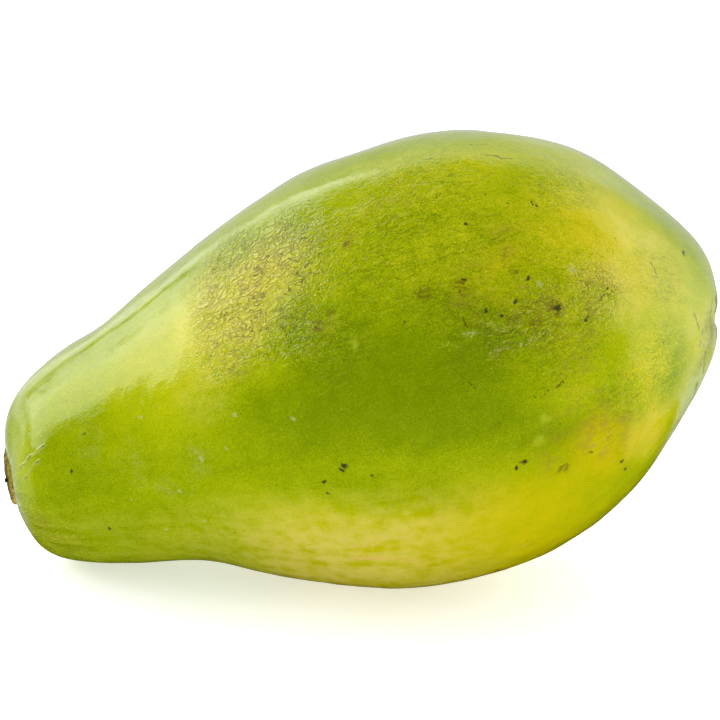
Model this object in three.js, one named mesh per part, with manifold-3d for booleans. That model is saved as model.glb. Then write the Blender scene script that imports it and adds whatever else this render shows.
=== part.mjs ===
// A green-ripe papaya lying on its side: the grown fruit, and the cut stub of its stalk.
// Millimetres, +Z up. The stalk end points to -X and the blossom end to +X.
import * as THREE from "three";
import { ParametricGeometry } from "three/addons/geometries/ParametricGeometry.js";
import { mergeVertices } from "three/addons/utils/BufferGeometryUtils.js";
import Module from "manifold-3d";

// The centre line climbs through the neck and runs almost level into the blossom end.
const STALK_END = new THREE.Vector3(-89.5, 0, -34);
const NECK_HANDLE = new THREE.Vector3(-24, 0, -13.5);
const BODY_HANDLE = new THREE.Vector3(46.5, 0, 12);
const BLOSSOM_END = new THREE.Vector3(87.5, 0, 14);

// Fullness above, below and beside the centre line, in equal steps from the stalk end to the
// blossom end. The half thickness is the fullness times the sine of the step's angle, from 0
// to 180 degrees, so that both ends close in a round cap.
const BACK_FULLNESS = [64, 51, 45, 40.5, 41, 47.5, 53.5, 58.5, 62, 62, 58, 62, 72];
const BELLY_FULLNESS = [66, 67, 49, 40.5, 37.5, 45.5, 52, 55, 57, 56, 51.5, 49.5, 60];
const FLANK_FULLNESS = [48, 52, 51, 43.5, 42, 46, 52, 57, 60, 61, 60.5, 60, 62];

// Five soft lobes run from end to end.
const LOBE_COUNT = 5;
const LOBE_SHARE = 0.012; // of the half thickness, to each side of the mean
const LOBE_TURN = THREE.MathUtils.degToRad(14); // of one crest, from the top towards -Y

// The skin dips into a shallow basin round the stalk.
const BASIN_DEPTH = 2.4;
const BASIN_RADIUS = 14;

// The cut stub stands in a pocket of the basin, with a small gap all round.
const STUB_FACE = new THREE.Vector3(-89.9, 0, -34);
const STUB_DIP = THREE.MathUtils.degToRad(9); // of its axis, below the level
const STUB_RADIUS = 7;
const STUB_LENGTH = 6;
const STUB_ROUND = 1.2; // rounding of the rim
const STUB_DOME = 0.5; // rise of the face at its middle
const STUB_GAP = 0.3;

// The flower's scar is a shallow slot across the blossom end.
const SCAR_MIDDLE = new THREE.Vector3(87.5, 2, 14.8);
const SCAR_DEPTH = 1.4;
const SCAR_LENGTH = 18;
const SCAR_WIDTH = 5;

// The underside is pressed flat where the fruit rests.
const FLAT_DEPTH = 0.8;
const TABLE_SIZE = 260;
const TABLE_THICKNESS = 20;

const STEPS_ALONG = 60;
const STEPS_AROUND = 50;
const STUB_STEPS = 28;
const STUB_CURVE_STEPS = 4;
const SCAR_STEPS = 16;

const wasm = await Module();
wasm.setup();

const centreLine = new THREE.CubicBezierCurve3(STALK_END, NECK_HANDLE, BODY_HANDLE, BLOSSOM_END);
const back = outline(BACK_FULLNESS);
const belly = outline(BELLY_FULLNESS);
const flank = outline(FLANK_FULLNESS);

function outline(fullness) {
  return new THREE.SplineCurve(fullness.map((value, step) => new THREE.Vector2(step, value)));
}

// A point of the skin. Along runs from the stalk end to the blossom end, and around from the
// top of the fruit towards -Y, both from 0 to 1.
function skinPoint(around, along, target) {
  const distance = (1 - Math.cos(Math.PI * along)) / 2;
  const centre = centreLine.getPointAt(distance);
  const tangent = centreLine.getTangentAt(distance);

  const turn = 2 * Math.PI * around;
  const facing = Math.cos(turn) > 0 ? back : belly;
  const flankShare = Math.sin(turn) ** 2;
  const fullness = THREE.MathUtils.lerp(facing.getPoint(along).y, flank.getPoint(along).y, flankShare);
  const rounding = Math.sin(Math.PI * along);
  const lobe = LOBE_SHARE * rounding * Math.cos(LOBE_COUNT * (turn - LOBE_TURN));
  const radius = fullness * rounding * (1 + lobe);

  const up = new THREE.Vector3(-tangent.z, 0, tangent.x);
  target.copy(centre).addScaledVector(up, radius * Math.cos(turn));
  target.y = -radius * Math.sin(turn);
  const inStalkHalf = along < 0.5;
  if (inStalkHalf) {
    target.addScaledVector(tangent, BASIN_DEPTH * Math.exp(-((radius / BASIN_RADIUS) ** 2)));
  }
}

// The stub about its own axis, larger all round by a gap: its face at y = 0, its root below.
function stubGeometry(gap) {
  const radius = STUB_RADIUS + gap;
  const root = -STUB_LENGTH - gap;
  const flatRadius = radius - STUB_ROUND;
  const profile = new THREE.Path();
  profile.moveTo(0, root);
  profile.lineTo(radius, root);
  profile.lineTo(radius, gap - STUB_ROUND);
  profile.quadraticCurveTo(radius, gap, flatRadius, gap);
  profile.quadraticCurveTo(flatRadius / 2, gap + STUB_DOME, 0, gap + STUB_DOME);
  return new THREE.LatheGeometry(profile.getPoints(STUB_CURVE_STEPS), STUB_STEPS);
}

// A closed geometry as a solid that can be joined and cut.
function solidOf(geometry) {
  const bare = geometry.clone();
  bare.deleteAttribute("normal");
  bare.deleteAttribute("uv");
  const merged = mergeVertices(bare);
  return new wasm.Manifold(
    new wasm.Mesh({
      numProp: 3,
      vertProperties: merged.getAttribute("position").array,
      triVerts: new Uint32Array(merged.index.array),
    }),
  );
}

function geometryOf(solid) {
  const { vertProperties, triVerts } = solid.getMesh();
  const geometry = new THREE.BufferGeometry();
  geometry.setAttribute("position", new THREE.BufferAttribute(vertProperties, 3));
  geometry.setIndex(new THREE.BufferAttribute(triVerts, 1));
  geometry.computeVertexNormals();
  return geometry;
}

function makeStub() {
  const material = new THREE.MeshStandardMaterial({ color: 0x9c7a36, roughness: 0.85 });
  const stub = new THREE.Mesh(stubGeometry(0), material);
  stub.name = "stalk_stub";
  stub.position.copy(STUB_FACE);
  stub.rotation.set(0, -STUB_DIP, Math.PI / 2);
  stub.updateMatrix();
  return stub;
}

function makeFruit(stub) {
  const grown = solidOf(new ParametricGeometry(skinPoint, STEPS_AROUND, STEPS_ALONG));
  const pocket = solidOf(stubGeometry(STUB_GAP).applyMatrix4(stub.matrix));

  const scarShape = new THREE.SphereGeometry(1, SCAR_STEPS, SCAR_STEPS)
    .scale(SCAR_DEPTH, SCAR_LENGTH / 2, SCAR_WIDTH / 2)
    .translate(SCAR_MIDDLE.x, SCAR_MIDDLE.y, SCAR_MIDDLE.z);

  const tableTop = grown.boundingBox().min[2] + FLAT_DEPTH;
  const table = new THREE.BoxGeometry(TABLE_SIZE, TABLE_SIZE, TABLE_THICKNESS)
    .translate(0, 0, tableTop - TABLE_THICKNESS / 2);

  const cut = grown.subtract(pocket).subtract(solidOf(scarShape)).subtract(solidOf(table));
  const material = new THREE.MeshStandardMaterial({ color: 0x8fa51a, roughness: 0.35 });
  const fruit = new THREE.Mesh(geometryOf(cut), material);
  fruit.name = "fruit";
  return fruit;
}

const papaya = new THREE.Group();
const stub = makeStub();
papaya.add(makeFruit(stub), stub);

// The origin is the middle of the footprint, at the level that the fruit rests on.
const box = new THREE.Box3().setFromObject(papaya, true);
const middle = box.getCenter(new THREE.Vector3());
papaya.position.set(-middle.x, -middle.y, -box.min.z);

export default papaya;
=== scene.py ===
import math

import bpy
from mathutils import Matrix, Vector, noise


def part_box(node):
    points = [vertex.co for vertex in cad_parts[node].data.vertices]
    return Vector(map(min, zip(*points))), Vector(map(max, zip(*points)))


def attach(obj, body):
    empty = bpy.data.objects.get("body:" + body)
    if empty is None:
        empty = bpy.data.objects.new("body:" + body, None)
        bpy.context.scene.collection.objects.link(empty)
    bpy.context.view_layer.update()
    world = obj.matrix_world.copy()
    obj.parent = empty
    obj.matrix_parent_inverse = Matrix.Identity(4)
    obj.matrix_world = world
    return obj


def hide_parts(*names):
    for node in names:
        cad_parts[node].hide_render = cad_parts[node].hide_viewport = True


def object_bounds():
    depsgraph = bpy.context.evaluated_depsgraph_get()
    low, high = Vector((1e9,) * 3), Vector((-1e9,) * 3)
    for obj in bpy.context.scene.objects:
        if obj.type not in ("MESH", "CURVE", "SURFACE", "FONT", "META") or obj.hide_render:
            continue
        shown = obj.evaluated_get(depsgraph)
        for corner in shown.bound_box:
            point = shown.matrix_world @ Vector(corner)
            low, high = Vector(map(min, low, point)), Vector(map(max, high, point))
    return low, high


# A green-ripe papaya on a pale floor, in the part's own frame: metres, +Z up, the stalk end
# towards -X, the blossom end towards +X, and the camera on the -Y side.

MM = 0.001

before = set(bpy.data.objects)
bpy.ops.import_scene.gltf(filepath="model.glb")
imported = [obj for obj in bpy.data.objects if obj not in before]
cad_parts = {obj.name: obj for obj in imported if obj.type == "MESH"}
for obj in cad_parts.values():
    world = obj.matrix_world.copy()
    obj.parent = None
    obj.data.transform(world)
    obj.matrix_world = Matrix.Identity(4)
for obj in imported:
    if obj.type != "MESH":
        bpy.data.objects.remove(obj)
cad_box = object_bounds()
fruit_low, fruit_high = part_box("fruit")
stub_low, stub_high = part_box("stalk_stub")
fruit_length = fruit_high.x - fruit_low.x
middle = (fruit_low + fruit_high) / 2

# Camera: a long lens, a little above the fruit and a little towards the blossom end.
CAMERA_TURN = math.radians(6)
CAMERA_RISE = math.radians(18)
CAMERA_LENS = 135  # mm
CAMERA_DISTANCE = 0.671
CAMERA_AIM = middle + Vector((1.1, 0.6, -1.7)) * MM

# The skin's own mesh.
SKIN_VOXEL = 0.93 * MM
SKIN_SMOOTHING = 6

# A straight line inside the fruit, from the stalk to the blossom end. A place on the skin is told
# by how far along the fruit it is, from 0 to 1, and by its angle round this line, in degrees from
# the top over the front.
AXIS_AT_STALK = (stub_low.z + stub_high.z) / 2
AXIS_AT_BLOSSOM = 0.615 * fruit_high.z
GIRTH = 45 * MM

RIDGE_TURN = 16
RIDGE_REACH = 5 * MM
HOLLOW_TURN = 25
HOLLOW_REACH = 4.5 * MM
SWELLINGS = (
    ("broad_swelling", 26 * MM, 0.7 * MM),
    ("small_swelling", 9 * MM, 0.3 * MM),
    ("puckers", 3.5 * MM, 0.08 * MM),
)
# Lumps and dips of the lobes: how far along, angle round, half length, half width, height, in mm.
LUMPS = (
    (0.042, 118, 6, 14, 1.0),
    (0.070, 152, 9, 9, 0.45),
    (0.235, 153, 22, 10, 0.85),
    (0.385, 153, 10, 8, 0.35),
    (0.010, 16, 5, 8, 0.55),
    (0.008, 340, 5, 9, 0.4),
    (0.075, 353, 9, 8, 0.6),
    (0.210, 357, 7, 8, 0.65),
    (0.410, 354, 8, 8, 0.45),
    (0.820, 346, 10, 9, 0.65),
    (0.978, 342, 6, 9, 0.75),
    (0.992, 150, 5, 8, 0.4),
    (0.900, 160, 6, 8, 0.35),
    (0.30, 230, 20, 14, 0.6),
    (0.62, 262, 16, 18, 0.5),
)
DIPS = (
    (0.016, 58, 4, 10, 1.0),
    (0.132, 353, 6, 7, 0.5),
    (0.505, 353, 7, 7, 0.45),
    (0.804, 158, 6, 7, 0.45),
    (0.690, 348, 7, 6, 0.3),
    (0.50, 218, 24, 7, 0.7),
    (0.55, 292, 30, 6, 0.6),
    (0.991, 77, 3, 4, 0.5),
    (0.990, 125, 3, 3, 0.4),
)

# The stub's cut face looks out of the stalk end, a little down and to the front.
STUB_DIP = math.radians(8)
STUB_TURN = math.radians(8)
STUB_RADIUS = 7.5 * MM
STUB_DEPTH = 6.0 * MM
stub_way = Vector((
    -math.cos(STUB_DIP) * math.cos(STUB_TURN), -math.sin(STUB_TURN), -math.sin(STUB_DIP)
))
stub_face = (stub_low + stub_high) / 2 + stub_way * 2.9 * MM
# Rings of the cut face from the rim inwards: width and rise, in mm.
STUB_RINGS = (
    (0.35, 0.30), (0.55, 0.12), (0.7, 0.0), (0.35, -0.35), (0.4, 0.30), (0.9, 0.05),
    (0.8, -0.12), (0.5, -0.30), (0.6, -0.5),
)
STUB_VOXEL = 0.2 * MM

BEAD_RADIUS = 0.5 * MM
bead_place = stub_face + Vector((0.6, -7.5, 1.5)) * MM

# The flower's scar, a short slot across the blossom end.
scar = Vector((fruit_high.x - 0.5 * MM, 2.5 * MM, AXIS_AT_BLOSSOM))

# Studio.
FLOOR_SIZE = 8
ROOM_RADIUS = 2
PANEL_COLOUR = (0.98, 0.99, 1.12)
# name, left and right edge, bottom and top edge (degrees), brightness
PANELS = (
    ("left_softbox", -121, -79, 12, 44, 3.6),
    ("left_strip", -146, -130, 10, 54, 2.3),
    ("left_wall", -150, -86, -36, 8, 0.5),
    ("left_end_wall", -148, -112, -4, 12, 0.9),
    ("right_softbox", 76, 126, -12, 38, 1.5),
    ("right_wall", 126, 160, -29, 40, 0.8),
    ("right_low_wall", 92, 126, -34, -12, 0.5),
    ("back_wall", 160, 214, -26, 42, 0.68),
    ("back_ceiling", 126, 214, 42, 60, 1.0),
)


def direction(turn, rise):
    """The way from the fruit towards a turn to the right of the front and a rise above level."""
    level = math.cos(rise)
    return Vector((math.sin(turn) * level, -math.cos(turn) * level, math.sin(rise)))


def axis_height(x):
    return AXIS_AT_STALK + (AXIS_AT_BLOSSOM - AXIS_AT_STALK) * (x - fruit_low.x) / fruit_length


def place_of(point):
    """How far along the fruit a point is, and its angle round the axis."""
    along = (point.x - fruit_low.x) / fruit_length
    return along, math.degrees(math.atan2(-point.y, point.z - axis_height(point.x)))


def step(value, low, high):
    """A smooth step from 0 at low to 1 at high."""
    share = min(max((value - low) / (high - low), 0), 1)
    return share * share * (3 - 2 * share)


def hump(value, centre, reach):
    """1 at the centre, falling softly to 0 about two reaches away."""
    return math.exp(-(((value - centre) / reach) ** 2))


# ---------------------------------------------------------------- shader building


class Field:
    """A shader value that varies over a surface, with arithmetic that adds its Math nodes."""

    def __init__(self, finish, socket):
        self.finish = finish
        self.socket = socket

    def _math(self, operation, *values):
        return self.finish.node("ShaderNodeMath", {"operation": operation}, values)

    def __add__(self, other):
        return self._math("ADD", self, other)

    __radd__ = __add__

    def __sub__(self, other):
        return self._math("SUBTRACT", self, other)

    def __rsub__(self, other):
        return self._math("SUBTRACT", other, self)

    def __mul__(self, other):
        return self._math("MULTIPLY", self, other)

    def __truediv__(self, other):
        return self._math("DIVIDE", self, other)

    def __pow__(self, other):
        return self._math("POWER", self, other)


class Finish:
    """A material being made: its Principled shader, and the nodes that feed it."""

    def __init__(self, name):
        self.material = bpy.data.materials.new(name)
        self.material.use_nodes = True
        self.tree = self.material.node_tree
        self.shader = self.tree.nodes["Principled BSDF"]
        self.position = self.node("ShaderNodeTexCoord", output="Object")

    def node(self, kind, settings=None, inputs=None, output=0):
        """Adds a node: its settings first, then its sockets by number or name."""
        made = self.tree.nodes.new(kind)
        for name, value in (settings or {}).items():
            if name == "stops":
                self._set_stops(made.color_ramp, value)
            else:
                setattr(made, name, value)
        pairs = inputs.items() if isinstance(inputs, dict) else enumerate(inputs or ())
        for key, value in pairs:
            self.feed(made.inputs[key], value)
        return Field(self, made.outputs[output])

    def _set_stops(self, ramp, stops):
        for _ in range(len(stops) - len(ramp.elements)):
            ramp.elements.new(1.0)
        for element, (place, colour) in zip(ramp.elements, stops):
            element.position = place
            element.color = colour

    def feed(self, socket, value):
        if isinstance(value, Field):
            self.tree.links.new(value.socket, socket)
        elif socket.type == "RGBA" and len(value) == 3:
            socket.default_value = (*value, 1.0)
        else:
            socket.default_value = value

    def vector(self, operation, *values, output=0):
        return self.node("ShaderNodeVectorMath", {"operation": operation}, values, output)

    def scaled(self, way, share):
        """The vector, this many times as long."""
        return self.node("ShaderNodeVectorMath", {"operation": "SCALE"}, {"Vector": way, "Scale": share})

    def noise(self, scale, detail=2.0, roughness=0.5, where=None, distortion=0.0, output="Fac"):
        """Soft cloudy noise; the scale is the number of clouds in a metre."""
        return self.node(
            "ShaderNodeTexNoise",
            inputs={
                "Vector": where or self.position,
                "Scale": scale,
                "Detail": detail,
                "Roughness": roughness,
                "Distortion": distortion,
            },
            output=output,
        )

    def wrinkles(self, scale, detail=3.0, roughness=0.6, where=None, distortion=0.0):
        """Wandering crests, as on creased leather."""
        return self.node(
            "ShaderNodeTexNoise",
            {"noise_type": "RIDGED_MULTIFRACTAL"},
            {
                "Vector": where or self.position,
                "Scale": scale,
                "Detail": detail,
                "Roughness": roughness,
                "Distortion": distortion,
            },
        )

    def cells(self, scale, feature="F1", where=None, output="Distance"):
        return self.node(
            "ShaderNodeTexVoronoi",
            {"feature": feature},
            {"Vector": where or self.position, "Scale": scale},
            output,
        )

    def rise(self, value, low, high, bottom=0.0, top=1.0):
        """A smooth step of the value, from bottom at low to top at high."""
        return self.node(
            "ShaderNodeMapRange",
            {"interpolation_type": "SMOOTHSTEP"},
            {"Value": value, "From Min": low, "From Max": high, "To Min": bottom, "To Max": top},
        )

    def mix(self, share, under, over):
        """Two colours mixed: the share is how much of the second shows."""
        return self.node(
            "ShaderNodeMix",
            {"data_type": "RGBA"},
            {0: share, 6: under, 7: over},
            2,
        )

    def most(self, values):
        """The highest of several values."""
        highest = values[0]
        for value in values[1:]:
            highest = self.node("ShaderNodeMath", {"operation": "MAXIMUM"}, [highest, value])
        return highest

    def dots(self, places, where, shift, blur):
        """1 inside each of several round marks, told by its place on the skin and its size."""
        nearest = 100.0
        for along, around, size in places:
            away = self.vector("DISTANCE", where, spot(along, around) + shift, output=1)
            nearest = self.node("ShaderNodeMath", {"operation": "MINIMUM"}, [nearest, away / (size * MM)])
        return self.rise(nearest, 1 - blur, 1 + blur, 1.0, 0.0)

    def from_line(self, start, end, where):
        """How far each place is from the straight line between two places."""
        run = end - start
        from_start = self.vector("SUBTRACT", where, start)
        share = self.vector("DOT_PRODUCT", from_start, run / run.length_squared, output=1)
        share = self.node("ShaderNodeClamp", inputs=[share, 0.0, 1.0])
        return self.vector("DISTANCE", from_start, self.scaled(run, share), output=1)

    def from_lines(self, paths, where, shift):
        """How far each place is from several paths, each told by the places on the skin it passes."""
        nearest = 1.0
        for path in paths:
            places = [spot(along, around) + shift for along, around in path]
            for start, end in zip(places, places[1:]):
                away = self.from_line(start, end, where)
                nearest = self.node("ShaderNodeMath", {"operation": "MINIMUM"}, [nearest, away])
        return nearest

    def near(self, distance, width):
        """1 at no distance, fading to 0 at a width in mm."""
        return self.rise(distance, width * 0.3 * MM, width * MM, 1.0, 0.0)

    def split(self, place):
        node = self.node("ShaderNodeSeparateXYZ", inputs=[place]).socket.node
        return [Field(self, socket) for socket in node.outputs]

    def join(self, *parts):
        return self.node("ShaderNodeCombineXYZ", inputs=parts)

    def bump(self, height, distance, strength=1.0, under=None):
        inputs = {"Strength": strength, "Distance": distance, "Height": height}
        if under:
            inputs["Normal"] = under
        return self.node("ShaderNodeBump", inputs=inputs)


# ---------------------------------------------------------------- modelling


def select_only(piece):
    bpy.ops.object.select_all(action="DESELECT")
    piece.select_set(True)
    bpy.context.view_layer.objects.active = piece


def apply_modifier(piece, kind, **settings):
    select_only(piece)
    bpy.ops.object.modifier_add(type=kind)
    modifier = piece.modifiers[-1]
    for name, value in settings.items():
        setattr(modifier, name, value)
    bpy.ops.object.modifier_apply(modifier=modifier.name)


def copy_of_node(node, name):
    """The node's solid as a new piece, its loose triangles joined into one surface."""
    piece = bpy.data.objects.new(name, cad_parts[node].data.copy())
    bpy.context.scene.collection.objects.link(piece)
    piece.data.materials.clear()
    select_only(piece)
    bpy.ops.object.mode_set(mode="EDIT")
    bpy.ops.mesh.select_all(action="SELECT")
    bpy.ops.mesh.remove_doubles(threshold=0.01 * MM)
    bpy.ops.mesh.tris_convert_to_quads(face_threshold=math.radians(20), shape_threshold=math.radians(60))
    bpy.ops.object.mode_set(mode="OBJECT")
    return piece


def push(piece, height, weight):
    """Raises the surface by a height, or sinks it, as far as the weight of each place says."""
    group = piece.vertex_groups.new(name="form")
    for vertex in piece.data.vertices:
        along, around = place_of(vertex.co)
        share = weight(vertex.co, along, around)
        if share > 0.002:
            group.add([vertex.index], share, "REPLACE")
    apply_modifier(piece, "DISPLACE", strength=height, mid_level=0, vertex_group=group.name)
    piece.vertex_groups.clear()


def back_ridge(point, along, around):
    """The crest of the upper lobe, a narrow line from the stalk to the blossom end."""
    from_crest = math.radians(around - RIDGE_TURN) * ring_radius(point)
    return hump(from_crest, 0, RIDGE_REACH) * step(along, 0.02, 0.1) * step(along, 0.97, 0.85)


def ridge_hollow(point, along, around):
    from_hollow = math.radians(around - HOLLOW_TURN) * ring_radius(point)
    return hump(from_hollow, 0, HOLLOW_REACH) * step(along, 0.03, 0.1) * step(along, 0.62, 0.42)


def shoulder_pad(point, along, around):
    """The fuller part between the neck and the body, which ends in a soft step."""
    reach = math.hypot((along - 0.26) / 0.22, (around - 30) / 35)
    return step(reach, 1.07, 0.95) * step(along, 0.12, 0.42) * step(around, 2, 32)


def scar_dimple(point, along, around):
    """The short slot that the flower leaves, upright across the blossom end."""
    away = point - scar
    return hump(math.hypot(away.x / 6, away.y / 2.2, away.z / 4.0) / MM, 0, 1)


def lumps(places):
    """The weight of several soft lumps, and the height of the highest."""
    most = max(height for *_, height in places)

    def weight(point, along, around):
        total = 0
        for place, turn, length, width, height in places:
            run = (along - place) * fruit_length / (length * MM)
            if abs(run) < 2.2:
                off = (around - turn + 180) % 360 - 180
                run = math.hypot(run, math.radians(off) * ring_radius(point) / (width * MM))
                total += height * hump(run, 0, 1)
        return min(total / most, 1)

    return most * MM, weight


def ring_radius(point):
    return math.hypot(point.y, point.z - axis_height(point.x))


def model_skin():
    skin = copy_of_node("fruit", "papaya_skin")
    apply_modifier(skin, "SUBSURF", levels=2, render_levels=2)
    apply_modifier(skin, "REMESH", mode="VOXEL", voxel_size=SKIN_VOXEL)
    apply_modifier(skin, "SMOOTH", factor=0.5, iterations=SKIN_SMOOTHING)
    push(skin, 0.3 * MM, back_ridge)
    push(skin, -0.3 * MM, ridge_hollow)
    push(skin, 0.4 * MM, shoulder_pad)
    push(skin, *lumps(LUMPS))
    height, weight = lumps(DIPS)
    push(skin, -height, weight)
    push(skin, -1.2 * MM, scar_dimple)
    for name, size, height in SWELLINGS:
        roughen(skin, name, size, height)
    select_only(skin)
    bpy.ops.object.shade_smooth()
    return skin


def inside(point, places, wander):
    """How much a point lies in soft patches that add up, from 0 to 1."""
    outside = 1
    for place, reach in places:
        outside *= 1 - 0.8 * step((point + wander - place).length / reach, 1.5, 0.3)
    return 1 - outside


def tinted(point, places):
    """The sum of soft tints at a point, each with its place, half length, half width and amount."""
    total = 0
    for place, length, width, amount in places:
        away = point - place
        reach = math.hypot(away.x / length, away.y / width, away.z / width) / MM
        if reach < 1.8:
            total += amount * step(reach, 1.8, 0.2)
    return total


def paint_skin():
    """Each vertex keeps how ripe, how leathery, how stained and how bloomed its skin is."""
    noise.seed_set(PAINT_SEED)
    flushes, blushes, creams = [
        [(spot(along, around), length, width, amount) for along, around, length, width, amount in places]
        for places in (FLUSHES, BLUSHES, CREAM_SHEEN_PLACES)
    ]
    regions = [
        [(spot(along, around), reach * MM) for along, around, reach in places]
        for places in (LEATHERY, STAINED, BLOOM_PATCHES, CRACKED)
    ]
    shades, tints = [], []
    for vertex in skin.data.vertices:
        point = vertex.co
        wander = noise.noise_vector(point * 55) * 4 * MM + noise.noise_vector(point * 170) * 2 * MM
        along, around = place_of(point + wander)
        ripeness = UNRIPE + noise.noise(point * 38) * 0.07 + noise.noise(point * 110) * 0.07
        ripeness += tinted(point + wander, flushes)
        underneath = step(abs(around), 93, 118)
        blush = underneath * (0.05 + 0.5 * step(along, 0.28, 0.52)) * step(along, 0.95, 0.74)
        # A pale sheen: partly the underside's own colour, partly painted reflection of the floor below;
        # the listed places add painted highlight.
        cream = underneath * (0.15 + 0.85 * step(along, 0.24, 0.50)) * step(along, 0.76, 0.54)
        cream += tinted(point + wander, creams)
        blush += tinted(point + wander, blushes)
        leather, stain, bloom, cracked = [inside(point, places, wander) for places in regions]
        leather = LEAST_LEATHERY + (1 - LEAST_LEATHERY) * leather
        shades += [ripeness, leather, stain, bloom]
        tints += [blush, cream, cracked, 1]
    for name, values in (("growth", shades), ("blush", tints)):
        layer = skin.data.color_attributes.new(name=name, type="FLOAT_COLOR", domain="POINT")
        layer.data.foreach_set("color", values)


def select_faces(piece, wanted):
    """Goes into edit mode with only the faces selected that the rule wants."""
    select_only(piece)
    bpy.ops.object.mode_set(mode="EDIT")
    bpy.ops.mesh.select_mode(type="FACE")
    bpy.ops.mesh.select_all(action="DESELECT")
    bpy.ops.object.mode_set(mode="OBJECT")
    for face in piece.data.polygons:
        face.select = wanted(face)
    bpy.ops.object.mode_set(mode="EDIT")


def fix_place(piece):
    """Puts the piece's place and turn into its mesh."""
    select_only(piece)
    bpy.ops.object.transform_apply(location=True, rotation=True, scale=True)


def roughen(piece, name, size, height):
    """Swells and sinks the surface by a cloudy texture."""
    texture = bpy.data.textures.new(name, "CLOUDS")
    texture.noise_scale = size
    texture.noise_depth = 1
    apply_modifier(
        piece, "DISPLACE", texture=texture, texture_coords="LOCAL", strength=height, mid_level=0.5
    )


def model_stub():
    """The stalk's cut end: bark, a ring of fibre, soft wood and a sunken pith."""
    bpy.ops.object.select_all(action="DESELECT")
    bpy.ops.mesh.primitive_cylinder_add(
        vertices=72, radius=STUB_RADIUS, depth=STUB_DEPTH,
        location=stub_face - stub_way * STUB_DEPTH / 2,
        rotation=stub_way.to_track_quat("Z", "Y").to_euler(),
    )
    stub = bpy.context.object
    stub.name = "stalk_cut_end"
    fix_place(stub)
    select_faces(stub, lambda face: face.normal.dot(stub_way) > 0.9)
    for width, rise in STUB_RINGS:
        bpy.ops.mesh.inset(thickness=width * MM, depth=rise * MM)
    bpy.ops.object.mode_set(mode="OBJECT")
    apply_modifier(stub, "REMESH", mode="VOXEL", voxel_size=STUB_VOXEL)
    apply_modifier(stub, "SMOOTH", factor=0.5, iterations=2)
    roughen(stub, "stub_waves", 3.2 * MM, 0.5 * MM)
    roughen(stub, "stub_grain", 0.9 * MM, 0.22 * MM)
    select_only(stub)
    bpy.ops.object.shade_smooth()
    return stub


def model_bead():
    """A bead of sap that has dried black on the rim of the cut."""
    bpy.ops.object.select_all(action="DESELECT")
    bpy.ops.mesh.primitive_uv_sphere_add(
        segments=24, ring_count=16, radius=BEAD_RADIUS, location=bead_place
    )
    bead = bpy.context.object
    bead.name = "dried_sap_bead"
    bead.scale = (0.8, 1.0, 1.25)
    fix_place(bead)
    roughen(bead, "bead_wrinkles", 0.5 * MM, 0.15 * MM)
    select_only(bead)
    bpy.ops.object.shade_smooth()
    return bead


def spot(along, around):
    """The place on the skin this far along the fruit and at this angle round its axis."""
    x = fruit_low.x + along * fruit_length
    turn = math.radians(around)
    on_axis = Vector((x, 0, axis_height(x)))
    found, place, _, _ = skin.ray_cast(on_axis, Vector((0, -math.sin(turn), math.cos(turn))))
    return place if found else on_axis


# ---------------------------------------------------------------- finishes

# Skin colour from unripe to ripe, and the warm and pale yellow-white tones that the underside turns.
RIPENING = (
    (0.0, (0.160, 0.228, 0.0)),
    (0.2, (0.208, 0.288, 0.0)),
    (0.4, (0.288, 0.366, 0.0)),
    (0.6, (0.375, 0.438, 0.001)),
    (0.8, (0.490, 0.500, 0.003)),
    (1.0, (0.635, 0.550, 0.010)),
)
BLUSH = (0.63, 0.49, 0.0)
# A pale yellow-white sheen: partly the ripe skin's own colour, partly painted reflection of the floor and
# painted highlight.
CREAM_SHEEN = (0.66, 0.56, 0.15)
UNRIPE = 0.42
# Where the skin is riper or greener: how far along, angle round, half length, half width in mm,
# and by how much.
FLUSHES = (
    (0.55, 72, 35, 20, -0.31),  # deep green heart of the front
    (0.28, 48, 24, 13, 0.29),  # pale shoulder
    (0.13, 46, 15, 11, 0.16),
    (0.03, 62, 6, 12, -0.12),
    (0.66, 25, 28, 12, 0.26),
    (0.42, 36, 16, 10, 0.20),
    (0.72, 46, 20, 8, 0.14),
    (0.835, 38, 15, 14, 0.50),  # yellow cheek near the blossom end
    (0.91, 60, 9, 14, 0.26),
    (0.90, 80, 8, 8, 0.10),
    (0.55, 116, 36, 11, 0.22),
    (0.84, 90, 9, 7, 0.16),
    (0.86, 100, 8, 8, -0.14),
    (0.56, 41, 20, 14, 0.16),
    (0.34, 38, 14, 12, 0.24),
    (0.735, 55, 12, 8, 0.14),
    (0.86, 58, 9, 7, 0.16),
    (0.89, 24, 9, 7, 0.20),
    (0.95, 40, 5, 9, 0.14),
    (0.62, 14, 16, 7, 0.12),
    (0.52, 33, 10, 6, 0.08),
    (0.965, 72, 6, 11, 0.15),
    (0.985, 98, 5, 9, 0.20),
    (0.935, 134, 8, 8, 0.30),
    (0.12, 57, 8, 8, -0.14),
    (0.385, 52, 8, 8, 0.16),
    (0.05, 76, 5, 9, 0.12),
    (0.38, 34, 13, 12, 0.16),
    (0.82, 99, 8, 5, -0.08),
    (0.45, 57, 10, 8, 0.16),
    (0.81, 76, 11, 11, 0.24),
    (0.91, 94, 7, 7, 0.30),
    (0.92, 117, 6, 6, 0.24),
    (0.80, 95, 7, 5, -0.10),
    (0.15, 85, 14, 16, -0.10),
    (0.62, 96, 22, 6, 0.20),
    (0.79, 4, 16, 9, 0.24),
    (0.36, 300, 24, 16, -0.16),
    (0.62, 285, 28, 20, -0.26),
    (0.80, 235, 18, 16, 0.34),
    (0.25, 230, 20, 12, 0.18),
)
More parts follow.
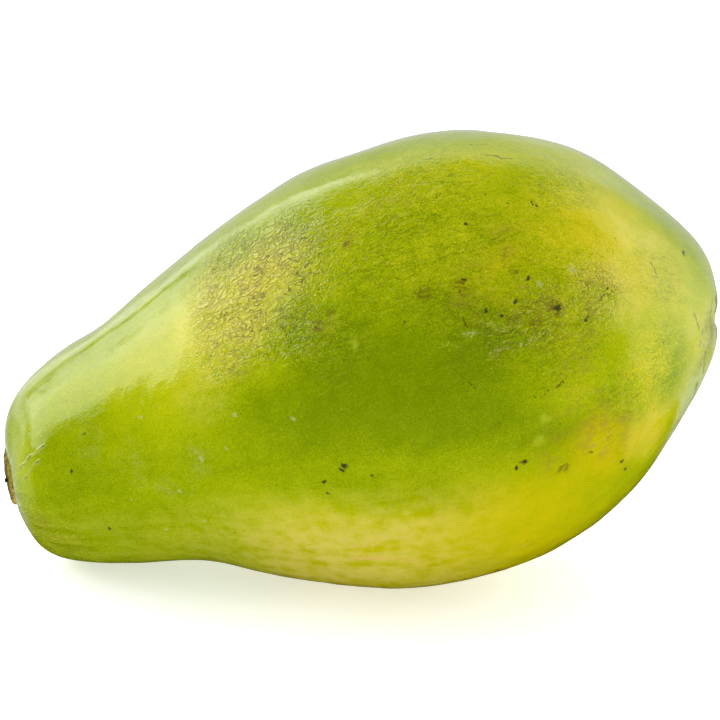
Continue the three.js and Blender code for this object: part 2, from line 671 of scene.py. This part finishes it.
# Where it turns warm: how far along, angle round, half length, half width in mm, how much.
BLUSHES = (
    (0.87, 110, 9, 8, 0.45), (0.79, 60, 12, 6, 0.14), (0.40, 33, 12, 8, 0.16),
    (0.85, 54, 6, 4, 0.10), (0.385, 33, 7, 4, 0.30), (0.32, 26, 6, 4, 0.15), (0.73, 45, 5, 4, 0.25),
    (0.68, 52, 8, 4, 0.12), (0.93, 34, 5, 6, 0.18), (0.82, 250, 12, 9, 0.35), (0.85, 20, 9, 6, 0.22),
    (0.86, 101, 7, 5, 0.16), (0.92, 117, 6, 6, 0.55), (0.955, 120, 4, 5, 0.20),
    (0.834, 103, 7, 5, 0.08),
)
# Where a pale yellow-white sheen is painted as painted highlight: the same.
CREAM_SHEEN_PLACES = (
    (0.87, 57, 8, 7, 0.50), (0.93, 60, 6, 8, 0.25), (0.24, 38, 12, 8, 0.20), (0.31, 32, 10, 9, 0.35),
    (0.365, 45, 8, 8, 0.30), (0.318, 59, 7, 6, 0.40), (0.38, 36, 12, 11, 0.30),
    (0.915, 118, 6, 6, 0.45), (0.905, 36, 6, 7, 0.20),
    (0.985, 92, 5, 9, 0.30),
)
# Where the skin is cracked into a fine net: how far along, angle round, reach in mm.
CRACKED = (
    (0.36, 30, 12), (0.42, 34, 13), (0.42, 24, 8), (0.36, 24, 6), (0.37, 46, 10), (0.43, 50, 7),
    (0.45, 34, 6),
    (0.76, 60, 7), (0.83, 58, 7), (0.72, 66, 6), (0.985, 84, 4), (0.985, 112, 4),
    (0.40, 330, 14), (0.60, 310, 12), (0.75, 240, 9),
)
# Where the skin is leathery: how far along, angle round, reach in mm.
LEATHERY = (
    (0.34, 30, 12), (0.41, 38, 13), (0.35, 50, 10), (0.45, 52, 9), (0.52, 36, 15), (0.62, 42, 16),
    (0.72, 46, 16), (0.50, 60, 9), (0.62, 24, 13), (0.82, 54, 12), (0.68, 64, 11), (0.80, 70, 10),
    (0.88, 98, 10), (0.78, 24, 10), (0.92, 50, 9), (0.93, 90, 9), (0.05, 112, 9), (0.10, 128, 9),
    (0.02, 92, 7),
    (0.40, 330, 16), (0.60, 310, 20), (0.50, 200, 12), (0.75, 255, 16), (0.30, 270, 12),
)
LEAST_LEATHERY = 0.10
PAINT_SEED = 2  # for how the edges of all these places wander
# Where it is stained olive brown.
STAINED = (
    (0.385, 30, 6), (0.42, 24, 6), (0.36, 55, 5), (0.47, 54, 5), (0.51, 34, 5), (0.67, 50, 8),
    (0.76, 60, 8), (0.72, 66, 7), (0.82, 70, 8), (0.87, 95, 8), (0.73, 40, 7), (0.80, 106, 5),
    (0.62, 52, 5), (0.56, 27, 6), (0.84, 86, 9), (0.83, 96, 8), (0.87, 105, 8), (0.85, 102, 9),
    (0.68, 56, 7), (0.03, 100, 7), (0.07, 120, 7), (0.45, 320, 9), (0.68, 290, 10), (0.80, 240, 8),
    (0.30, 215, 8), (0.55, 240, 9),
)

# Small marks: how far along, angle round, size in mm.
DARK_SPECKS = (
    (0.756, 30.5, 0.4), (0.751, 29.8, 0.35), (0.716, 31, 0.4), (0.665, 36, 0.5), (0.750, 52, 0.6),
    (0.734, 58, 0.6), (0.696, 59, 0.6), (0.719, 61, 0.6), (0.826, 65, 0.7), (0.592, 58, 0.5),
    (0.850, 56, 0.4), (0.518, 90, 0.7), (0.513, 91, 0.5), (0.490, 94, 0.6), (0.554, 94, 0.5),
    (0.749, 101, 0.7), (0.742, 102, 0.5),
    (0.493, 98, 0.5), (0.126, 78, 0.5), (0.175, 112, 0.5), (0.142, 62, 0.4), (0.877, 121, 0.6),
    (0.881, 127, 0.6), (0.835, 108, 0.5), (0.711, 150, 0.6), (0.950, 27, 0.6), (0.787, 61, 0.8),
    (0.666, 50.5, 0.4), (0.661, 53, 0.35), (0.35, 200, 0.8), (0.55, 230, 0.9), (0.7, 300, 0.8),
    (0.62, 265, 0.6),
    (0.8, 240, 0.9), (0.45, 310, 0.7), (0.25, 280, 0.6), (0.86, 200, 0.7),
)
BROWN_BLOTCHES = (
    (0.665, 51.9, 2.2), (0.616, 52, 1.6), (0.731, 49.7, 0.9), (0.786, 61, 1.7), (0.478, 53, 1.5),
    (0.493, 51, 1.1),
    (0.386, 33, 0.9), (0.40, 30, 0.7), (0.513, 35, 1.4), (0.431, 27, 1.2),
    (0.715, 88, 1.0), (0.80, 108, 1.8), (0.76, 64, 1.6),
    (0.41, 250, 2.0), (0.66, 290, 2.2), (0.75, 215, 1.6), (0.58, 330, 1.8),
)
PALE_FLECKS = (
    (0.431, 50, 0.5), (0.365, 70, 0.6),
    (0.448, 75, 0.5), (0.470, 75, 0.5), (0.354, 80, 0.5), (0.318, 82, 0.7), (0.285, 93, 0.7),
    (0.314, 108, 0.6), (0.257, 114, 0.5), (0.227, 62, 0.5), (0.185, 95, 0.4), (0.214, 96, 0.4),
    (0.805, 50, 1.1), (0.764, 54, 0.7), (0.60, 215, 1.1), (0.42, 260, 0.8), (0.75, 275, 0.9),
)
LIME_SPOTS = ((0.776, 90.2, 1.2), (0.770, 96.0, 1.3), (0.527, 60.0, 1.1), (0.35, 270, 1.2))
BLOOM_PATCHES = (
    (0.15, 66, 3.5), (0.22, 80, 5.0), (0.31, 82, 5.5), (0.27, 90, 4.0), (0.858, 108, 2.6),
    (0.878, 107, 2.2), (0.79, 52, 2.5), (0.30, 240, 6.0), (0.70, 250, 5.0),
)
# Lines from place to place, each place told by how far along and the angle round; widths in mm.
DARK_SCRATCHES = (
    ((0.754, 83.3), (0.775, 83.6), (0.800, 82.0)),
    ((0.665, 59.2), (0.675, 62.0)),
    ((0.675, 74.5), (0.689, 77.3)),
    ((0.60, 14.5), (0.68, 13.9), (0.72, 15.0)),
    ((0.66, 9.0), (0.70, 8.5)),
    ((0.384, 34.0), (0.397, 32.0), (0.405, 29.5)),
    ((0.840, 60.0), (0.862, 55.5)),
    ((0.905, 44.0), (0.915, 48.5), (0.922, 50.0)),
)
PALE_SCRATCHES = (
    ((0.649, 65.4), (0.668, 64.3), (0.686, 63.6)),
    ((0.704, 69.5), (0.733, 69.2), (0.761, 68.3)),
)
SCRATCH_WIDTH = 0.32
PALE_SCRATCH_WIDTH = 3 * SCRATCH_WIDTH
ROSY_LINES = (
    ((0.519, 125.6), (0.565, 127.5), (0.612, 129.6)),
    ((0.745, 136.0), (0.757, 136.0)),
)
ROSY_WIDTH = 1.3
# Folds at the stalk and the blossom end, with painted shade in them and pale banks of painted highlight
# on both sides.
FOLDS = (
    ((0.044, 70.7), (0.058, 66.9), (0.084, 62.1)),
    ((0.051, 78.7), (0.075, 69.0)),
    ((0.050, 102.0), (0.050, 111.0)),
    ((0.979, 83.3), (0.975, 93.6)),
    ((0.966, 68.0), (0.973, 79.0)),
    ((0.984, 107.9), (0.983, 132.7)),
    ((0.974, 131.2), (0.971, 144.8)),
    ((0.991, 48.8), (0.990, 80.6), (0.992, 100.4)),
    ((0.05, 300.0), (0.085, 312.0)),
    ((0.965, 285.0), (0.972, 270.0)),
)
FOLD_WIDTH = 0.27
BANK_WIDTH = 3 * FOLD_WIDTH
# The pale lip of the skin round the stalk.
STALK_LIP = (((0.0165, 57), (0.020, 66), (0.024, 79), (0.030, 90), (0.038, 98)),)
LIP_WIDTH = 0.7

STROKE_SLANT = math.radians(24)
NET_CELLS = 820  # in a metre
BRANCH_CELLS = 400
# How far the edges of marks and of folds wander, and the shift that brings them back to place.
RAGGED = 2.6 * MM
HALF_RAGGED = Vector((1, 1, 1)) * RAGGED / 2
WAVY = 1.2 * MM
HALF_WAVY = Vector((1, 1, 1)) * WAVY / 2

# Colours of the skin's marks.
STAIN_OLIVE = (0.24, 0.19, 0.0)
# Painted shade in the creases.
CREASE_SHADE_BROWN = (0.10, 0.098, 0.0)
# Painted shade in the hollows between the pebbles.
PIT_SHADE_OLIVE = (0.14, 0.14, 0.0)
# Painted highlight: a bright yellow glint on the leathery skin.
PAINTED_GLINT_YELLOW = (0.64, 0.64, 0.10)
BLOOM_GREEN = (0.36, 0.37, 0.09)
BLOTCH_BROWN = (0.15, 0.105, 0.0)
SPECK_BLACK = (0.030, 0.026, 0.0)
FLECK_CREAM = (0.50, 0.52, 0.18)
LIME = (0.44, 0.51, 0.02)
DOT_BROWN = (0.05, 0.045, 0.003)
DOT_CREAM = (0.46, 0.48, 0.12)
SCRATCH_BROWN = (0.09, 0.085, 0.0)
SCRATCH_CREAM = (0.50, 0.50, 0.15)
ROSE = (0.66, 0.42, 0.10)
# Painted highlight on the banks of the folds.
BANK_HIGHLIGHT_PALE = (0.52, 0.56, 0.16)
# Painted shade in the folds.
FOLD_SHADE_OLIVE = (0.10, 0.10, 0.0)
LIP_PALE = (0.62, 0.64, 0.22)
CORK_DARK = (0.085, 0.060, 0.004)
CORK_PALE = (0.42, 0.38, 0.06)
# Painted shade in the hollow of the flower's scar.
PIT_SHADOW_BLACK = (0.02, 0.014, 0.005)
WAX_TINT = (1.0, 0.97, 0.55)
WAX_ROUGHNESS = 0.10
# Colours of the stalk's cork, its cut wood and the dried sap.
BARK_BROWN = (0.27, 0.19, 0.01)
BARK_OCHRE = (0.68, 0.49, 0.07)
BARK_GREEN = (0.46, 0.42, 0.03)
# Painted shadow on the stalk where it sinks into the skin.
ROOT_SHADOW_DARK = (0.10, 0.085, 0.0)
RIM_DARK = (0.10, 0.085, 0.01)
WOOD_DARK = (0.20, 0.13, 0.02)
WOOD_PALE = (0.52, 0.40, 0.13)
PITH_BROWN = (0.09, 0.055, 0.01)
SAP_BLACK = (0.006, 0.005, 0.003)
SAP_BROWN = (0.05, 0.035, 0.015)


def chart_of(finish):
    """The skin unrolled round its axis: streaks along it run from the stalk to the blossom end."""
    apart = finish.split(finish.position)
    slope = (AXIS_AT_BLOSSOM - AXIS_AT_STALK) / fruit_length
    above = apart[2] - (apart[0] - fruit_low.x) * slope - AXIS_AT_STALK
    girth = (apart[1] * apart[1] + above * above) ** 0.5
    to_the_end = (apart[0] - middle.x) / (fruit_length / 2)
    run = apart[0] - girth * to_the_end * 0.7
    return finish.join(run, apart[1] / girth * GIRTH, above / girth * GIRTH)


def round_a_line(finish, start, way):
    """How far each place is from a line, and the way from the line to it."""
    away = finish.vector("SUBTRACT", finish.position, start)
    depth = finish.vector("DOT_PRODUCT", away, way, output=1)
    out = finish.vector("SUBTRACT", away, finish.scaled(way, depth))
    return finish.vector("LENGTH", out, output=1), finish.vector("NORMALIZE", out)


def pleats_round(finish, start, way):
    """Folds that run out from a line, as round a stalk, finer the nearer they are."""
    reach, outward = round_a_line(finish, start, way)
    run = finish.join(reach * 0.35, 0.0, 0.0)
    place = finish.vector("ADD", finish.scaled(outward, 9 * MM), run)
    return reach, finish.noise(330, 2, 0.6, where=place, distortion=0.4)


class SkinFinish(Finish):
    """The fruit's skin: its painted zones and its textures, each kept as a field under its name."""

    def __init__(self):
        super().__init__("waxed_papaya_skin")
        self.ripeness, self.leather, self.stain, self.bloom = self.painted("growth")
        self.blush, self.cream, self.cracked, _ = self.painted("blush")
        self.weave()
        self.crack()
        self.blotch()
        self.gather_ends()

    def painted(self, name):
        """The red, green, blue and alpha that were painted on the vertices under a name."""
        paint = self.node("ShaderNodeAttribute", {"attribute_name": name})
        parts = self.node("ShaderNodeSeparateColor", inputs=[paint]).socket.node
        fields = [Field(self, socket) for socket in parts.outputs]
        return [*fields, Field(self, paint.socket.node.outputs["Alpha"])]

    def weave(self):
        """Wrinkles, pebbling, grain and mottling, streaks along the fruit and slanting strokes."""
        chart = chart_of(self)
        self.drawn_out = self.vector("MULTIPLY", chart, (0.7, 1.0, 1.0))
        self.crinkle = self.wrinkles(480, 3, 0.7, self.drawn_out, 0.35)
        self.pebble = self.noise(1050, 3, 0.7, self.drawn_out, 0.8)
        self.grain = self.noise(2900, 1, 0.6)
        self.mottle = self.noise(230, 3, 0.65)
        stretched = self.vector("MULTIPLY", chart, (0.2, 1.0, 1.0))
        self.streaks = self.noise(260, 3, 0.65, where=stretched)
        slanting = self.node(
            "ShaderNodeVectorRotate",
            {"rotation_type": "Y_AXIS"},
            {"Vector": self.position, "Angle": STROKE_SLANT},
        )
        slanting = self.vector("MULTIPLY", slanting, (0.32, 1.0, 1.0))
        self.strokes = self.noise(1150, 3, 0.65, where=slanting)
        self.shiver = self.noise(520, 2, output="Color")

    def shaken(self, where, reach):
        """The places moved at random by up to this reach, to make straight edges ragged."""
        return self.vector("MULTIPLY_ADD", self.shiver, (reach,) * 3, where)

    def crack(self):
        """Creases: a net of small cells, longer branches through it, and long wandering veins."""
        bent = self.shaken(self.drawn_out, RAGGED)
        net = self.cells(NET_CELLS, "DISTANCE_TO_EDGE", bent)
        wander = self.noise(300, 3, 0.62, self.drawn_out, 0.6)
        from_vein = self.node("ShaderNodeMath", {"operation": "ABSOLUTE"}, [wander - 0.5])
        veins = self.rise(from_vein, 0.004, 0.022, 1.0, 0.0) * self.rise(self.pebble, 0.36, 0.46)
        broken = self.rise(wander * 0.5 + self.mottle * 0.5, 0.45, 0.56)
        meshes = self.rise(net, 0.015, 0.075, 1.0, 0.0) * broken
        coarse = self.cells(BRANCH_CELLS, "DISTANCE_TO_EDGE", bent)
        branches = self.rise(coarse, 0.008, 0.045, 1.0, 0.0) * self.rise(self.mottle, 0.44, 0.54)
        self.pillows = self.rise(net, 0.0, 0.25)
        self.creases = self.most([
            veins * self.leather * 0.42, meshes * self.cracked * 0.68, branches * self.cracked * 0.95
        ])

    def blotch(self):
        """Brown staining in the stained zones, brown blotches and dark specks."""
        uneven = self.mottle + (self.streaks - 0.5) * 0.5 + (self.pebble - 0.5) * 0.7
        self.staining = self.rise(uneven, 0.46, 0.70) * self.stain
        self.ragged = self.shaken(self.position, RAGGED)
        self.blotches = self.dots(BROWN_BLOTCHES, self.ragged, HALF_RAGGED, 0.6)
        self.blotches = self.blotches * self.rise(self.pebble, 0.42, 0.58)
        self.specks = self.dots(DARK_SPECKS, self.ragged, HALF_RAGGED, 0.4)

    def gather_ends(self):
        """Folds and pleats at both ends, and the brown, cracked rim of the flower's scar."""
        from_fold = self.from_lines(FOLDS, self.shaken(self.position, WAVY), HALF_WAVY)
        self.folds = self.near(from_fold, FOLD_WIDTH)
        self.banks = self.near(from_fold, BANK_WIDTH)
        along = self.split(self.position)[0]
        from_stalk, stalk_pleats = pleats_round(self, stub_face, stub_way)
        at_stalk = self.rise(along, stub_face.x + 6 * MM, stub_face.x + 20 * MM, 1.0, 0.0)
        self.from_scar, self.scar_pleats = pleats_round(self, scar, Vector((1, 0, 0)))
        self.at_scar = self.rise(along, scar.x - 14 * MM, scar.x - 4 * MM)
        rim = self.from_scar - self.pebble * 4.5 * MM - self.scar_pleats * 5.5 * MM
        self.brown = self.rise(rim, 0.0, 3 * MM, 1.0, 0.0) * self.at_scar
        fading = self.rise(from_stalk, 12 * MM, 24 * MM, 1.0, 0.0)
        self.pleats = stalk_pleats * at_stalk * fading
        fading = self.rise(self.from_scar, 8 * MM, 22 * MM, 1.0, 0.0)
        self.pleats = self.pleats + self.scar_pleats * self.at_scar * fading

    def ground_colour(self):
        """The skin's colour from unripe to ripe, with its warm parts, and a pale sheen that is partly its
        own colour, partly painted reflection of the floor and painted highlight.
        """
        leather, mottle, grain = self.leather, self.mottle, self.grain
        fine = (self.pebble - 0.5) * 0.5 + (self.strokes - 0.5) * 0.35 + (self.crinkle - 0.6) * 0.2
        fine = fine + (grain - 0.5) * 0.7
        ripeness = self.ripeness + (self.streaks - 0.5) * (0.16 + leather * 0.35)
        ripeness = ripeness + (mottle - 0.5) * (0.24 + leather * 0.26)
        ripeness = ripeness + fine * (0.15 + leather * 1.1) + (grain - 0.5) * 0.7
        stops = [(at, (*shade, 1)) for at, shade in RIPENING]
        colour = self.node("ShaderNodeValToRGB", {"stops": stops}, [ripeness])
        colour = self.mix(self.blush + (mottle - 0.5) * self.blush, colour, BLUSH)
        # Painted sheen: partly painted reflection of the floor and painted highlight.
        creamy = self.cream * self.rise(mottle * 0.6 + self.streaks * 0.4, 0.34, 0.62)
        return self.mix(creamy * 0.55, colour, CREAM_SHEEN)

    def add_stains_and_painted_light(self, colour):
        """Staining, creases darkened with painted shade, painted shade in the hollows between the
        pebbles, a painted highlight glinting on the strokes, and bloom.
        """
        colour = self.mix(self.staining * 0.5, colour, STAIN_OLIVE)
        # Painted shade: the skin darkened along the creases.
        colour = self.mix(self.creases, colour, CREASE_SHADE_BROWN)
        # Painted shade in the hollows between the pebbles.
        pit_shade = self.rise(self.pebble, 0.42, 0.34) * self.leather
        colour = self.mix(pit_shade * 0.2, colour, PIT_SHADE_OLIVE)
        # Painted highlight: a bright glint on the strokes of the leathery and cracked skin.
        painted_glints = self.rise(self.strokes, 0.59, 0.66) * self.most([self.leather * 0.3, self.cracked])
        colour = self.mix(painted_glints * 0.5, colour, PAINTED_GLINT_YELLOW)
        film = self.bloom * self.rise(self.pebble * 0.4 + self.mottle * 0.6, 0.45, 0.62)
        return self.mix(film * 0.45, colour, BLOOM_GREEN)

    def add_marks(self, colour):
        """Blotches, specks, flecks, tiny dots and scratches."""
        colour = self.mix(self.blotches * 0.8, colour, BLOTCH_BROWN)
        colour = self.mix(self.specks * 0.9, colour, SPECK_BLACK)
        flecks = self.dots(PALE_FLECKS, self.ragged, HALF_RAGGED, 0.5)
        colour = self.mix(flecks * 0.45, colour, FLECK_CREAM)
        limes = self.dots(LIME_SPOTS, self.ragged, HALF_RAGGED, 0.8)
        colour = self.mix(limes * 0.5, colour, LIME)
        colour = scatter(self, colour, 170, DOT_BROWN, 0.055)
        colour = scatter(self, colour, 230, DOT_CREAM, 0.05)
        from_scratch = self.from_lines(DARK_SCRATCHES, self.ragged, HALF_RAGGED)
        colour = self.mix(self.near(from_scratch, SCRATCH_WIDTH) * 0.8, colour, SCRATCH_BROWN)
        from_scratch = self.from_lines(PALE_SCRATCHES, self.ragged, HALF_RAGGED)
        pale = self.near(from_scratch, PALE_SCRATCH_WIDTH) * self.rise(self.pebble, 0.5, 0.62)
        colour = self.mix(pale * 0.6, colour, SCRATCH_CREAM)
        rosy = self.near(self.from_lines(ROSY_LINES, self.position, Vector()), ROSY_WIDTH)
        rosy = rosy * self.rise(self.streaks + (self.strokes - 0.5), 0.42, 0.62)
        return self.mix(rosy * 0.65, colour, ROSE)

    def add_folds(self, colour):
        """Painted shade in the folds and painted highlight on their banks, and the pale lip of the skin
        round the stalk.
        """
        # Painted highlight on the banks, painted shade in the folds.
        colour = self.mix(self.banks * 0.25, colour, BANK_HIGHLIGHT_PALE)
        colour = self.mix(self.folds * 0.55, colour, FOLD_SHADE_OLIVE)
        lip = self.near(self.from_lines(STALK_LIP, self.position, Vector()), LIP_WIDTH)
        return self.mix(lip * 0.6, colour, LIP_PALE)

    def add_scar(self, colour):
        """The corky rim of the flower's scar, and painted shade, near black, in the hollow in its middle.
        """
        rays = self.scar_pleats * 0.6 + self.strokes * 0.2 + self.pebble * 0.2
        cork = self.mix(self.rise(rays, 0.42, 0.56), CORK_DARK, CORK_PALE)
        colour = self.mix(self.brown * 0.8, colour, cork)
        # Painted shade: the hollow in the middle of the scar darkened nearly to black.
        pit_shadow = self.rise(self.from_scar, 0.8 * MM, 2.2 * MM, 1.0, 0.0) * self.at_scar
        return self.mix(pit_shadow * 0.85, colour, PIT_SHADOW_BLACK)

    def roughness(self):
        rough = WAX_ROUGHNESS + self.leather * 0.05 + (self.mottle - 0.5) * 0.10
        rough = rough + self.staining * 0.15 + self.brown * 0.3
        return self.most([rough, self.creases * 0.4, self.blotches * 0.3, self.specks * 0.5])

    def relief(self):
        """The height of the fine wrinkles, in millimetres."""
        leather, pebble = self.leather, self.pebble
        fine = self.pillows * 0.05 + self.crinkle * 0.05 + pebble * 0.10 + self.grain * 0.05
        height = fine * (0.10 + leather * 0.90) + self.streaks * 0.05 * (0.3 + leather)
        height = height + self.mottle * 0.09 + self.pillows * self.cracked * 0.22
        height = height + self.banks * 0.15 - self.folds * 0.3
        height = height + (self.scar_pleats * 0.5 + pebble * 0.3) * self.brown
        return height + self.pleats * 0.8


def skin_finish():
    finish = SkinFinish()
    colour = finish.ground_colour()
    for add in (finish.add_stains_and_painted_light, finish.add_marks, finish.add_folds, finish.add_scar):
        colour = add(colour)
    finish.feed(finish.shader.inputs["Base Color"], colour)
    finish.feed(finish.shader.inputs["Roughness"], finish.roughness())
    finish.shader.inputs["Specular Tint"].default_value = (*WAX_TINT, 1.0)
    finish.feed(finish.shader.inputs["Normal"], finish.bump(finish.relief(), MM))
    return finish.material


def scatter(finish, colour, scale, tone, size):
    """Tiny round marks at random over the whole skin, at most one in each cell."""
    distance = finish.cells(scale)
    draw = finish.split(Field(finish, distance.socket.node.outputs["Color"]))[0]
    marks = finish.rise(distance, size * 0.5, size, 1.0, 0.0) * finish.rise(draw, 0.62, 0.66)
    return finish.mix(marks * 0.7, colour, tone)


def stub_finish():
    """Dry cork: an ochre side with dark cracks and painted shadow where it sinks into the skin, and rings
    and rays on the cut face.
    """
    finish = Finish("corky_stalk")
    reach, outward = round_a_line(finish, stub_face, stub_way)
    away = finish.vector("SUBTRACT", finish.position, stub_face)
    depth = finish.vector("DOT_PRODUCT", away, -stub_way, output=1)
    turned = finish.scaled(outward, 7 * MM)
    down_the_side = finish.vector("ADD", turned, finish.join(depth * 0.3, 0.0, 0.0))
    across_the_face = finish.vector("ADD", turned, finish.join(reach * 0.15, 0.0, 0.0))
    fibres = finish.noise(900, 3, 0.65, where=down_the_side)
    rays = finish.noise(700, 3, 0.6, where=across_the_face)
    grain = finish.noise(1600, 4, 0.7)
    blots = finish.noise(420, 3, 0.6)

    fibrous = finish.rise(fibres + (grain - 0.5) * 0.6, 0.32, 0.66)
    side = finish.mix(fibrous, BARK_BROWN, BARK_OCHRE)
    side = finish.mix(finish.rise(blots, 0.52, 0.66) * 0.5, side, BARK_GREEN)
    # Painted shadow: the side of the stalk darker from about 1.2 mm behind the cut face, where it goes
    # into the skin.
    root = finish.rise(depth + (fibres - 0.5) * 2 * MM, 1.2 * MM, 2.6 * MM)
    side = finish.mix(root * 0.8, side, ROOT_SHADOW_DARK)
    rayed = finish.rise(rays + (grain - 0.5) * 0.7, 0.35, 0.65)
    face = finish.mix(rayed, WOOD_DARK, WOOD_PALE)
    pith = finish.rise(reach + (rays - 0.5) * 2 * MM, 1.2 * MM, 2.4 * MM, 1.0, 0.0)
    face = finish.mix(pith * 0.8, face, PITH_BROWN)
    bark = finish.rise(reach, 6.2 * MM, 7.0 * MM)
    on_face = finish.rise(depth, 0.3 * MM, 0.9 * MM, 1.0, 0.0)
    colour = finish.mix(on_face * (1 - bark * 0.7), side, face)
    rim = finish.rise(depth, 0.0, 0.6 * MM, 1.0, 0.0) * bark * finish.rise(blots, 0.30, 0.50)
    colour = finish.mix(rim * 0.9, colour, RIM_DARK)
    finish.feed(finish.shader.inputs["Base Color"], colour)
    finish.feed(finish.shader.inputs["Roughness"], 0.62 + grain * 0.25)
    relief = fibres * 0.5 * (1 - on_face) + rays * 0.45 * on_face + grain * 0.25
    finish.feed(finish.shader.inputs["Normal"], finish.bump(relief, MM))
    return finish.material


def bead_finish():
    finish = Finish("dried_sap")
    tone = finish.rise(finish.noise(1800, 3, 0.6), 0.4, 0.65)
    finish.feed(finish.shader.inputs["Base Color"], finish.mix(tone, SAP_BLACK, SAP_BROWN))
    finish.shader.inputs["Roughness"].default_value = 0.45
    return finish.material


def floor_finish():
    """A pale floor that glows a little, as a light table does."""
    finish = Finish("pale_floor")
    finish.shader.inputs["Base Color"].default_value = (0.86, 0.86, 0.86, 1)
    finish.shader.inputs["Roughness"].default_value = 0.9
    finish.shader.inputs["Emission Color"].default_value = (1, 1, 1, 1)
    finish.shader.inputs["Emission Strength"].default_value = 0.5
    return finish.material


# ---------------------------------------------------------------- studio


def add_camera():
    camera = bpy.data.objects.new("camera", bpy.data.cameras.new("camera"))
    camera.data.lens = CAMERA_LENS
    camera.data.clip_end = 20
    back = direction(CAMERA_TURN, CAMERA_RISE)
    camera.location = CAMERA_AIM + back * CAMERA_DISTANCE
    camera.rotation_euler = back.to_track_quat("Z", "Y").to_euler()
    bpy.context.scene.collection.objects.link(camera)
    bpy.context.scene.camera = camera


def add_panel(name, left, right, bottom, top, brightness):
    """A flat lamp that fills this part of the room, in degrees round the fruit and above level."""
    turn, rise = math.radians((left + right) / 2), math.radians((bottom + top) / 2)
    light = bpy.data.lights.new(name, "AREA")
    light.shape = "RECTANGLE"
    light.size = 2 * ROOM_RADIUS * math.tan(math.radians(right - left) / 2)
    light.size_y = 2 * ROOM_RADIUS * math.tan(math.radians(top - bottom) / 2)
    light.color = PANEL_COLOUR
    light.energy = brightness * math.pi * light.size * light.size_y
    lamp = bpy.data.objects.new(name, light)
    way = direction(turn, rise)
    lamp.location = middle + way * ROOM_RADIUS
    lamp.rotation_euler = way.to_track_quat("Z", "Y").to_euler()
    lamp.visible_camera = False
    bpy.context.scene.collection.objects.link(lamp)


def add_world():
    world = bpy.data.worlds.new("studio")
    world.use_nodes = True
    background = world.node_tree.nodes["Background"]
    background.inputs["Color"].default_value = (1, 1, 1, 1)
    background.inputs["Strength"].default_value = 0.75
    world.cycles_visibility.glossy = False
    bpy.context.scene.world = world


def add_floor():
    bpy.ops.object.select_all(action="DESELECT")
    bpy.ops.mesh.primitive_plane_add(size=FLOOR_SIZE, location=(0, 0, cad_box[0][2]))
    floor = bpy.context.object
    floor.name = "floor"
    bpy.ops.object.transform_apply(location=True, rotation=True, scale=True)
    floor.data.materials.append(floor_finish())
    floor.visible_glossy = False


add_camera()
add_world()
for panel in PANELS:
    add_panel(*panel)
add_floor()

skin = model_skin()
paint_skin()
skin.data.materials.append(skin_finish())
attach(skin, "root")
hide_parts("fruit")

stub = model_stub()
stub.data.materials.append(stub_finish())
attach(stub, "root")
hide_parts("stalk_stub")

bead = model_bead()
bead.data.materials.append(bead_finish())
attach(bead, "root")

bpy.context.scene.view_settings.view_transform = "Standard"
